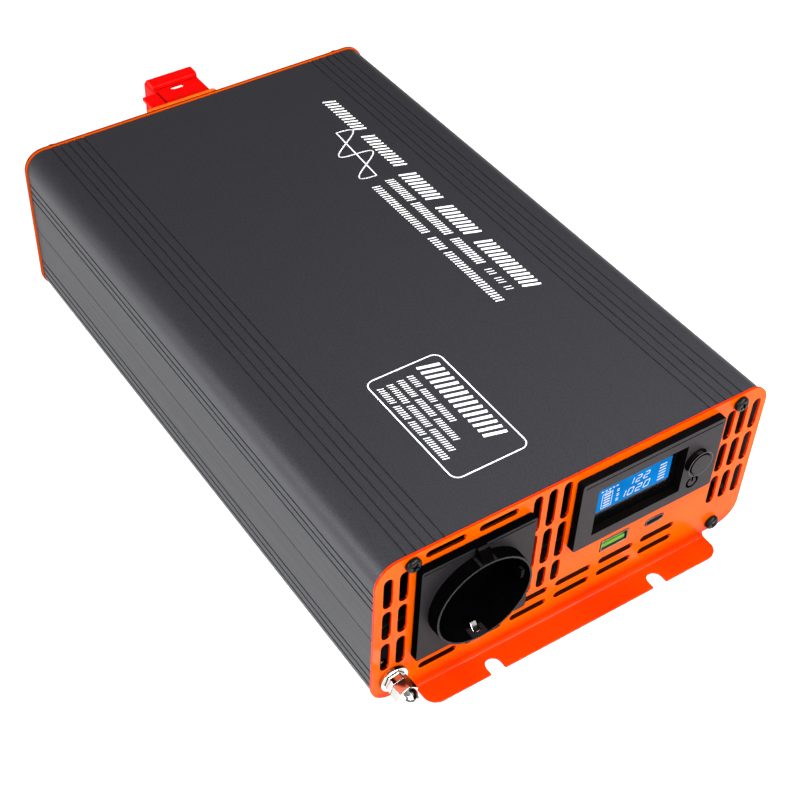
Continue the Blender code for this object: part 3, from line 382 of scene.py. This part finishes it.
def clean_copy(node):
    """The node's mesh as a new one, with its flat faces whole again."""
    source = frame["nodes"][node].data
    mesh = bpy.data.meshes.new(node + "_surface")
    mesh.from_pydata([v.co for v in source.vertices], [], [list(f.vertices) for f in source.polygons])
    shape = bmesh.new()
    shape.from_mesh(mesh)
    bmesh.ops.remove_doubles(shape, verts=shape.verts, dist=0.002 * MM)
    bmesh.ops.dissolve_limit(
        shape,
        angle_limit=math.radians(0.5),
        verts=shape.verts,
        edges=shape.edges,
        use_dissolve_boundaries=False,
    )
    bmesh.ops.recalc_face_normals(shape, faces=shape.faces)
    shape.to_mesh(mesh)
    shape.free()
    return mesh


def finished(node, width, segments=2, angle=50, material=None):
    """The node's own shape with rounded edges and its slot's finish."""
    slot = SLOT_OF[node]
    material = material or FINISHES[slot]
    piece = piece_from(clean_copy(node), node + "_finished", BODY_OF[node], material)
    soften(piece, width, segments, angle)
    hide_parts(node)
    return piece


def prisms(outlines, low, high, normal):
    """A mesh of flat prisms; outlines are (x, z) for normal Y and (x, y) for normal Z."""

    def corner(u, v, level):
        return (u, level, v) if normal == "Y" else (u, v, level)

    shape = bmesh.new()
    for outline in outlines:
        rings = [[shape.verts.new(corner(u, v, level)) for u, v in outline] for level in (low, high)]
        shape.faces.new(rings[0])
        shape.faces.new(rings[1])
        for i in range(len(outline)):
            shape.faces.new((rings[0][i - 1], rings[0][i], rings[1][i], rings[1][i - 1]))
    bmesh.ops.recalc_face_normals(shape, faces=shape.faces)
    mesh = bpy.data.meshes.new("prisms")
    shape.to_mesh(mesh)
    shape.free()
    return mesh


def ribbon(points, width, closed=False):
    """Outlines of the short strips that draw a line of this width through the points.

    The strips reach a fifth of the width past their ends, so that they meet at the corners.
    """
    strips = []
    count = len(points) if closed else len(points) - 1
    for i in range(count):
        a, b = Vector(points[i]), Vector(points[(i + 1) % len(points)])
        along = (b - a).normalized()
        side = Vector((-along.y, along.x)) * width / 2
        reach = along * width * 0.2
        strips.append([a - side - reach, b - side + reach, b + side + reach, a + side - reach])
    return [[tuple(corner) for corner in strip] for strip in strips]


def lathe(profile, steps):
    """A turned mesh from (radius, height) points, top to bottom down the outside, about local Z."""
    shape = bmesh.new()
    rings = []
    for radius, height in profile:
        if radius == 0:
            rings.append([shape.verts.new((0, 0, height))])
            continue
        ring = []
        for i in range(steps):
            angle = 2 * math.pi * i / steps
            ring.append(shape.verts.new((radius * math.cos(angle), radius * math.sin(angle), height)))
        rings.append(ring)
    for upper, lower in zip(rings, rings[1:]):
        for i in range(steps):
            quad = [upper[(i - 1) % len(upper)], upper[i % len(upper)]]
            quad += [lower[i % len(lower)], lower[(i - 1) % len(lower)]]
            corners = list(dict.fromkeys(quad))
            if len(corners) > 2:
                shape.faces.new(corners)
    bmesh.ops.recalc_face_normals(shape, faces=shape.faces)
    mesh = bpy.data.meshes.new("turned")
    shape.to_mesh(mesh)
    shape.free()
    return mesh


def cut_by(mesh, cutter):
    """The mesh with the cutter's shape taken out of it."""
    target = bpy.data.objects.new("target", mesh)
    tool = bpy.data.objects.new("tool", cutter)
    SCENE.collection.objects.link(target)
    SCENE.collection.objects.link(tool)
    step = target.modifiers.new("cut", "BOOLEAN")
    step.operation = "DIFFERENCE"
    step.object = tool
    graph = bpy.context.evaluated_depsgraph_get()
    made = bpy.data.meshes.new_from_object(target.evaluated_get(graph))
    bpy.data.objects.remove(target)
    bpy.data.objects.remove(tool)
    return made


# ------------------------------------------------------------------ fasteners


def screw_head_mesh(radius, height):
    """A pan head with a cross recess, its underside at local z = 0."""
    crown = 0.62 * radius
    profile = [(0, height), (crown, 0.96 * height)]
    for i in range(1, 7):
        angle = math.pi / 2 * i / 6
        level = height * (0.3 + 0.66 * math.cos(angle))
        profile.append((crown + (radius - crown) * math.sin(angle), level))
    profile += [(radius, 0.04 * height), (radius - 0.04 * height, 0), (0, 0)]
    head = lathe(profile, 32)
    arm, slot, floor = 0.56 * radius, 0.13 * radius, 0.3 * height
    for wide, deep in ((arm, slot), (slot, arm)):
        outline = [(-wide, -deep), (wide, -deep), (wide, deep), (-wide, deep)]
        head = cut_by(head, prisms([outline], floor, 2 * height, "Z"))
    return head


def make_screws():
    """A turned head and a threaded shank for each screw, each cross turned its own way."""
    black = FINISHES["black_steel"]
    for node in sorted(frame["nodes"]):
        if not node.startswith(("front_screw", "rear_screw", "fan_screw")):
            continue
        low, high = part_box(node)
        centre = (low + high) / 2
        radius = (high.x - low.x) / 2
        ahead = node.startswith("front")
        seat = FRONT - SCREW_SINK if ahead else REAR + SCREW_SINK
        height = seat - low.y if ahead else high.y - seat
        placing = Matrix.Translation((centre.x, seat, centre.z)) @ (FORWARD if ahead else REARWARD)
        mesh = screw_head_mesh(radius, height)
        mesh.transform(Matrix.Rotation(math.radians(31 * centre.x / MM), 4, "Z"))
        head = piece_from(mesh, node + "_head", ROOT, black, placing)
        soften(head, 0.08 * MM, 1, 40)
        length = (high.y - low.y) - height
        mesh = threaded(1.5 * MM if radius < 3.3 * MM else 1.9 * MM, length, 0.5 * MM)
        down = placing @ Matrix.Translation((0, 0, -length))
        shank = piece_from(mesh, node + "_thread", ROOT, black, down)
        soften(shank, 0.02 * MM, 1, 80)
        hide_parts(node)


def threaded(radius, length, pitch):
    """A rod with thread ridges, from local z = 0 up to its length."""
    crest, root = radius, radius - 0.55 * pitch
    profile = [(0, length), (root, length)]
    turns = int(length / pitch)
    for i in range(turns):
        top = length - pitch * (i + 0.25)
        profile += [(crest, top), (root, top - 0.5 * pitch)]
    profile += [(root, 0), (0, 0)]
    return lathe(profile, 24)


def make_terminal_hardware():
    """Threads and chamfered nuts of the earth terminal and the two battery terminals."""
    for node in ("earth_lock_nut", "earth_cap_nut", "positive_terminal_nut", "negative_terminal_nut"):
        finished(node, 0.45 * MM, 3, 32)
    finished("earth_washer", 0.15 * MM, 2)
    for node, radius, pitch, head_thickness in (
        ("earth_stud", 2.5 * MM, 0.8 * MM, 3.9 * MM),
        ("positive_terminal_stud", 3.9 * MM, 1.25 * MM, 3.3 * MM),
        ("negative_terminal_stud", 3.9 * MM, 1.25 * MM, 3.3 * MM),
    ):
        low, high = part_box(node)
        centre = (low + high) / 2
        slot = SLOT_OF[node]
        if node == "earth_stud":
            turn, start, head_foot = FORWARD, high.y, FRONT + SHEET + 4.2 * MM
        else:
            turn, start, head_foot = REARWARD, low.y, low.y
        placing = Matrix.Translation((centre.x, start, centre.z)) @ turn
        mesh = threaded(radius, high.y - low.y, pitch)
        rod = piece_from(mesh, node + "_thread", ROOT, FINISHES[slot], placing)
        soften(rod, 0.05 * MM, 1, 80)
        across = (high.x - low.x) / 2
        corners = []
        for i in range(6):
            angle = math.pi / 3 * i
            corners.append((across * math.cos(angle), across * math.sin(angle)))
        placing = Matrix.Translation((centre.x, head_foot, centre.z)) @ turn
        mesh = prisms([corners], 0, head_thickness, "Z")
        head = piece_from(mesh, node + "_head", ROOT, FINISHES[slot], placing)
        soften(head, 0.3 * MM, 2, 32)
        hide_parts(node)


# ------------------------------------------------------------------- display


SEGMENTS = {
    "0": "abcdef", "1": "bc", "2": "abged", "3": "abgcd", "4": "fgbc",
    "5": "afgcd", "6": "afgedc", "7": "abc", "8": "abcdefg", "9": "abcdfg",
}


def digit_strokes(digit, left, foot, width, height, slant):
    """Centre lines of a slanted seven-segment digit."""

    def at(u, v):
        return (left + u * width + v * height * slant, foot + v * height)

    inset = 0.06
    lines = {
        "a": (at(inset, 1), at(1 - inset, 1)),
        "b": (at(1, 1 - inset), at(1, 0.5 + inset)),
        "c": (at(1, 0.5 - inset), at(1, inset)),
        "d": (at(inset, 0), at(1 - inset, 0)),
        "e": (at(0, 0.5 - inset), at(0, inset)),
        "f": (at(0, 1 - inset), at(0, 0.5 + inset)),
        "g": (at(inset, 0.5), at(1 - inset, 0.5)),
    }
    return [lines[name] for name in SEGMENTS[digit]]


def display_row(text, left, foot, width, height, pitch, stroke):
    """Strokes of a row of digits that starts at its lower left corner."""
    strips = []
    for i, digit in enumerate(text):
        for line in digit_strokes(digit, left + i * pitch, foot, width, height, 0.22):
            strips += ribbon(line, stroke)
    return strips


def bars(left, foot, width, thick, pitch, count, shrink=0.0):
    """A stack of level bars, each shorter than the one below by the shrink."""
    stack = []
    right = left + width
    for i in range(count):
        low = foot + i * pitch
        high = low + thick
        start = left + shrink * i
        stack.append([(start, low), (right, low), (right, high), (start, high)])
    return stack


def make_display():
    """The lit area on the lens, with two rows of digits, bar gauges, a battery sign and ticks."""
    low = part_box("display_window")[0]
    lens_front = low.y
    left, foot = low.x + 5.4 * MM, low.z + 7.4 * MM
    lit = bars(left, foot, 34.5 * MM, 11.6 * MM, 0, 1)
    mesh = prisms(lit, lens_front - LIFT, lens_front + 0.3 * MM, "Y")
    piece_from(mesh, "lcd_lit_area", ROOT, LCD_LIT)

    row_left, row_foot = left + 13.9 * MM, foot + 6.7 * MM
    marks = display_row("122", row_left, row_foot, 2.1 * MM, 3.1 * MM, 3.7 * MM, 0.38 * MM)
    row_left, row_foot = left + 10.6 * MM, foot + 1.5 * MM
    marks += display_row("1020", row_left, row_foot, 2.3 * MM, 3.2 * MM, 3.8 * MM, 0.4 * MM)
    marks += bars(left + 28.8 * MM, foot + 1.3 * MM, 3.4 * MM, 0.55 * MM, 1.55 * MM, 6, 0.05 * MM)
    marks += bars(left + 2.9 * MM, foot + 1.9 * MM, 3.0 * MM, 0.6 * MM, 1.45 * MM, 5)
    battery = [(2.1, 1.1), (6.7, 1.1), (6.7, 8.6), (5.3, 8.6)]
    battery += [(5.3, 9.2), (3.5, 9.2), (3.5, 8.6), (2.1, 8.6)]
    outline = [(left + u * MM, foot + v * MM) for u, v in battery]
    marks += ribbon(outline, 0.25 * MM, closed=True)
    for i in range(5):
        marks += bars(left + (1.2 + 1.7 * i) * MM, foot + 10 * MM, 1.0 * MM, 0.5 * MM, 1 * MM, 1)
    for i in range(3):
        row_foot = foot + (1.7 + 2.5 * i) * MM
        marks += bars(left + 8.9 * MM, row_foot, 1.1 * MM, 0.45 * MM, 0.9 * MM, 2)
    mesh = prisms(marks, lens_front - 2 * LIFT, lens_front - 0.5 * LIFT, "Y")
    piece_from(mesh, "lcd_marks", ROOT, LCD_WHITE)


def make_bezel_marks():
    """The power symbol under the button and the fine line along the bezel's top edge."""
    low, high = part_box("display_bezel")
    face = low.y
    symbol = Vector((centre_of("power_button").x + 0.8 * MM, low.z + 6.9 * MM))
    radius = 2.5 * MM
    arc = []
    for i in range(25):
        angle = math.radians(122 + 296 * i / 24)
        arc.append((symbol.x + radius * math.cos(angle), symbol.y + radius * math.sin(angle)))
    strokes = ribbon(arc, 0.95 * MM)
    strokes += ribbon([(symbol.x, symbol.y + 0.4 * MM), (symbol.x, symbol.y + 3.4 * MM)], 0.95 * MM)
    mesh = prisms(strokes, face - LIFT, face + LIFT, "Y")
    piece_from(mesh, "power_symbol", ROOT, BLACK_INK_AND_SHADOW)
    inset = 1.5 * MM
    line = bars(low.x + inset, high.z - 2.3 * MM, high.x - low.x - 2 * inset, 0.45 * MM, 0, 1)
    mesh = prisms(line, face - 0.6 * LIFT, face + LIFT, "Y")
    piece_from(mesh, "bezel_edge_line", ROOT, BLACK_INK_AND_SHADOW)


def make_button_rim_highlight():
    """A painted highlight: a thin pale ring round the edge of the button's face."""
    low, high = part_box("power_button")
    centre = (low + high) / 2
    radius = (high.x - low.x) / 2 - 0.35 * MM
    ring = []
    for i in range(40):
        angle = math.radians(9 * i)
        ring.append((centre.x + radius * math.cos(angle), centre.z + radius * math.sin(angle)))
    mesh = prisms(ribbon(ring, 0.3 * MM, True), low.y, low.y + LIFT, "Y")
    piece_from(mesh, "power_button_rim_highlight", "power_button", RIM_HIGHLIGHT_PAINT)


def make_cover_shadow_lines():
    """Dark lines of painted shadow on each terminal cover: beside its pull tab and in front of its lip.
    """
    for word, material, slot in (
        ("positive", RED_PAINTED_SHADOW, "red_pvc"),
        ("negative", BLACK_INK_AND_SHADOW, "black_pvc"),
    ):
        low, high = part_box(word + "_terminal_cover")
        top = high.z - 2 * MM
        tab, lip = low.x + 7.4 * MM, high.y - 9.1 * MM
        # Painted shadow along the step beside the pull tab and along the front of the lip.
        shadow_lines = ribbon([(tab, REAR + 5.6 * MM), (tab, REAR + 16 * MM)], 0.5 * MM)
        shadow_lines += ribbon([(low.x + 8 * MM, lip), (high.x - 2.7 * MM, lip)], 0.45 * MM)
        mesh = prisms(shadow_lines, top - LIFT, top + LIFT, "Z")
        piece_from(mesh, word + "_cover_shadow_lines", word + "_cover", material)


# ---------------------------------------------------------------- case print


def rounded_loop(left, right, near, far, radius):
    """Points round a rectangle with rounded corners, seen from above."""
    points = []
    corners = ((right - radius, far - radius, 0), (left + radius, far - radius, 90))
    corners += ((left + radius, near + radius, 180), (right - radius, near + radius, 270))
    for x, y, start in corners:
        for i in range(7):
            angle = math.radians(start + 15 * i)
            points.append((x + radius * math.cos(angle), y + radius * math.sin(angle)))
    return points


def hatch(start, end, left, right, width, pitch, slant):
    """Slanted ticks in a row that runs along -Y from start to end, between two x positions."""
    ticks = []
    count = int((start - end) / pitch)
    for i in range(count):
        y = start - pitch * (i + 0.5)
        ticks += ribbon([(left, y + slant), (right, y - slant)], width)
    return ticks


def sine_sign():
    """Strips of a sine wave of two periods across its slanted axis line."""
    swing, lean, stroke = 7.6 * MM, 0.3, 0.6 * MM
    begin = Vector((37.6 * MM, FRONT + 222.2 * MM))
    run = Vector((-2.3 * MM, -36 * MM))
    wave = []
    for i in range(65):
        share = i / 64
        reach = swing * math.sin(4 * math.pi * share)
        wave.append(begin + run * share + Vector((reach, lean * reach)))
    return ribbon([begin, begin + run], stroke) + ribbon(wave, stroke)


# Rows of ticks, in millimetres: start and end measured back from the front panel, left, right,
# width, pitch and slant of the ticks, and the numbers of the ticks left out as word gaps.
PRINT_ROWS = (
    (246, 186, 45.5, 51, 1.0, 2.3, 1.0, (12, 13)),
    (181, 91, 43.5, 50.5, 1.2, 2.5, 1.2, (9, 10, 20, 21)),
    (181, 112, 36.2, 40, 0.55, 1.5, 0.5, (12, 30, 31)),
    (110, 93, 36.6, 39.6, 0.35, 1.6, 0.4, (3, 7)),
    (180, 90, 28.8, 32.2, 0.6, 1.6, 0.4, (24, 25, 32)),
    (76, 28.5, -19.5, -11, 1.4, 3.0, 1.1, ()),
    (74, 45, -25.5, -23, 0.35, 1.2, 0.3, (6, 14)),
    (74, 36, -30, -27.5, 0.35, 1.2, 0.3, (9, 19)),
    (74, 33, -34.5, -32, 0.35, 1.2, 0.3, (10, 22)),
    (74, 30, -38.8, -36.3, 0.35, 1.2, 0.3, (8, 16, 24)),
)


def make_case_print():
    """Generic marks in white: a sine-wave sign, a rating frame and rows of ticks in place of words."""
    frame_loop = rounded_loop(-41 * MM, -8 * MM, FRONT + 21.2 * MM, FRONT + 79 * MM, 3.5 * MM)
    strips = ribbon(frame_loop, 0.55 * MM, closed=True) + sine_sign()
    for start, end, left, right, width, pitch, slant, gaps in PRINT_ROWS:
        first, last = FRONT + start * MM, FRONT + end * MM
        ticks = hatch(first, last, left * MM, right * MM, width * MM, pitch * MM, slant * MM)
        strips += [tick for i, tick in enumerate(ticks) if i not in gaps]
    mesh = prisms(strips, CASE_TOP - LIFT, CASE_TOP + 0.4 * LIFT, "Z")
    piece_from(mesh, "case_print", ROOT, PRINT)


# -------------------------------------------------------------------- socket


def make_socket_details():
    """The fine ridge along the plate's top edge, on both sides of the collar's tab."""
    low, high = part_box("socket_body")
    middle = centre_of("socket_body").x
    face = FRONT - 3.6 * MM
    half_tab, inset = 2.6 * MM, 1 * MM
    strips = []
    for start, end in ((low.x + inset, middle - half_tab), (middle + half_tab, high.x - inset)):
        strips += bars(start, high.z - 1.9 * MM, end - start, 0.5 * MM, 0, 1)
    mesh = prisms(strips, face - 0.35 * MM, face + 0.2 * MM, "Y")
    ridges = piece_from(mesh, "socket_plate_ridges", ROOT, FINISHES["black_plastic"])
    soften(ridges, 0.12 * MM, 2)


# ------------------------------------------------------------ all the pieces


EDGE_WIDTHS = {
    "upper_case": 0.18 * MM,
    "lower_case": 0.18 * MM,
    "front_panel": 0.28 * MM,
    "rear_panel": 0.28 * MM,
    "rear_terminal_plate": 0.4 * MM,
    "socket_body": 0.35 * MM,
    "display_bezel": 0.45 * MM,
    "power_button": 0.35 * MM,
    "usb_a_shell": 0.1 * MM,
    "usb_c_shell": 0.08 * MM,
    "usb_a_tongue": 0.15 * MM,
    "usb_c_tongue": 0.1 * MM,
    "positive_terminal_cover": 0.5 * MM,
    "negative_terminal_cover": 0.45 * MM,
    "positive_terminal_insulator": 0.5 * MM,
    "negative_terminal_insulator": 0.5 * MM,
    "fan_frame": 0.3 * MM,
    "fan_rotor": 0.25 * MM,
    "transformer_core": 0.5 * MM,
    "transformer_winding": 0.8 * MM,
    "display_window": 0.1 * MM,
    "socket_earth_clip_bottom": 0.15 * MM,
    "socket_earth_clip_top": 0.15 * MM,
}
DEFAULT_EDGE = 0.2 * MM
OWN_FINISHES = {
    "socket_body": SOCKET_PLASTIC,
    "rear_panel": REAR_SHADED_PAINT,
    "rear_terminal_plate": PLATE_LIT_PAINT,
    "usb_a_shell": PORT_STEEL,
    "usb_c_shell": PORT_STEEL,
}


def make_surfaces():
    """Finishes every CAD part except the fasteners, which have pieces of their own."""
    made_elsewhere = ("screw", "stud", "_nut", "earth_washer")
    for node in sorted(frame["nodes"]):
        if any(word in node for word in made_elsewhere):
            continue
        finished(node, EDGE_WIDTHS.get(node, DEFAULT_EDGE), material=OWN_FINISHES.get(node))


# ---------------------------------------------------------- studio and camera


def make_floor():
    """A wide pale floor that glows a little, so that it stays white behind the object."""
    nodes = Nodes("pale_floor")
    colours = [(0.3, (0.5, 0.5, 0.5)), (0.7, (0.53, 0.53, 0.53))]
    nodes.link(nodes.ramp(nodes.noise(0.4, 1.0), colours), nodes.shader.inputs["Base Color"])
    nodes.shader.inputs["Roughness"].default_value = 0.8
    nodes.shader.inputs["Emission Color"].default_value = (1, 1, 1, 1)
    nodes.shader.inputs["Emission Strength"].default_value = 0.72
    shape = bmesh.new()
    bmesh.ops.create_grid(shape, x_segments=1, y_segments=1, size=12)
    mesh = bpy.data.meshes.new("floor")
    shape.to_mesh(mesh)
    shape.free()
    mesh.materials.append(nodes.material)
    floor = bpy.data.objects.new("floor", mesh)
    floor.location.z = -LIFT
    SCENE.collection.objects.link(floor)


def area_light(name, place, target, size, power):
    light = bpy.data.lights.new(name, "AREA")
    light.shape = "RECTANGLE"
    light.size, light.size_y = size
    light.energy = power
    lamp = bpy.data.objects.new(name, light)
    SCENE.collection.objects.link(lamp)
    lamp.location = place
    lamp.rotation_euler = (Vector(target) - Vector(place)).to_track_quat("-Z", "Y").to_euler()


def make_light():
    """Soft boxes in front, at the left and above, and a weak white surround."""
    world = bpy.data.worlds.new("studio")
    world.use_nodes = True
    back = world.node_tree.nodes["Background"]
    back.inputs["Color"].default_value = (1, 1, 1, 1)
    back.inputs["Strength"].default_value = 0.25
    SCENE.world = world
    SCENE.view_settings.view_transform = "Standard"
    area_light("front_softbox", (-0.12, -0.62, 0.5), (0, -0.16, 0.06), (0.6, 0.4), 10)
    area_light("left_softbox", (-1.2, 0.1, 0.4), (0, 0.05, 0.03), (1.2, 0.5), 22)
    area_light("top_softbox", (0.1, -0.5, 1.5), (0, 0, 0.05), (1.2, 1.2), 2)
    area_light("near_softbox", (0.2, -0.3, 0.42), (0.02, -0.12, 0.07), (0.25, 0.2), 3)


AZIMUTH = math.radians(-32.46)
ELEVATION = math.radians(45.89)
ROLL = math.radians(0.36)


def make_camera():
    """A camera close above the left front corner, with its frame shifted to the object."""
    lens = bpy.data.cameras.new("camera")
    lens.sensor_width = 36
    lens.lens = 70.27
    lens.shift_x = 0.0843
    lens.shift_y = 0.0828
    lens.clip_start = 0.01
    camera = bpy.data.objects.new("camera", lens)
    SCENE.collection.objects.link(camera)
    SCENE.camera = camera
    back = Vector((
        math.sin(AZIMUTH) * math.cos(ELEVATION),
        -math.cos(AZIMUTH) * math.cos(ELEVATION),
        math.sin(ELEVATION),
    ))
    right = Vector((0, 0, 1)).cross(back).normalized()
    up = back.cross(right)
    turn = Matrix((right, up, back)).transposed().to_4x4()
    place = Vector((-276.5 * MM, FRONT - 266.8 * MM, 467.5 * MM))
    camera.matrix_world = Matrix.Translation(place) @ turn @ Matrix.Rotation(ROLL, 4, "Z")


make_surfaces()
make_screws()
make_terminal_hardware()
make_display()
make_bezel_marks()
make_button_rim_highlight()
make_cover_shadow_lines()
make_case_print()
make_socket_details()
make_floor()
make_light()
make_camera()
bpy.context.view_layer.update()
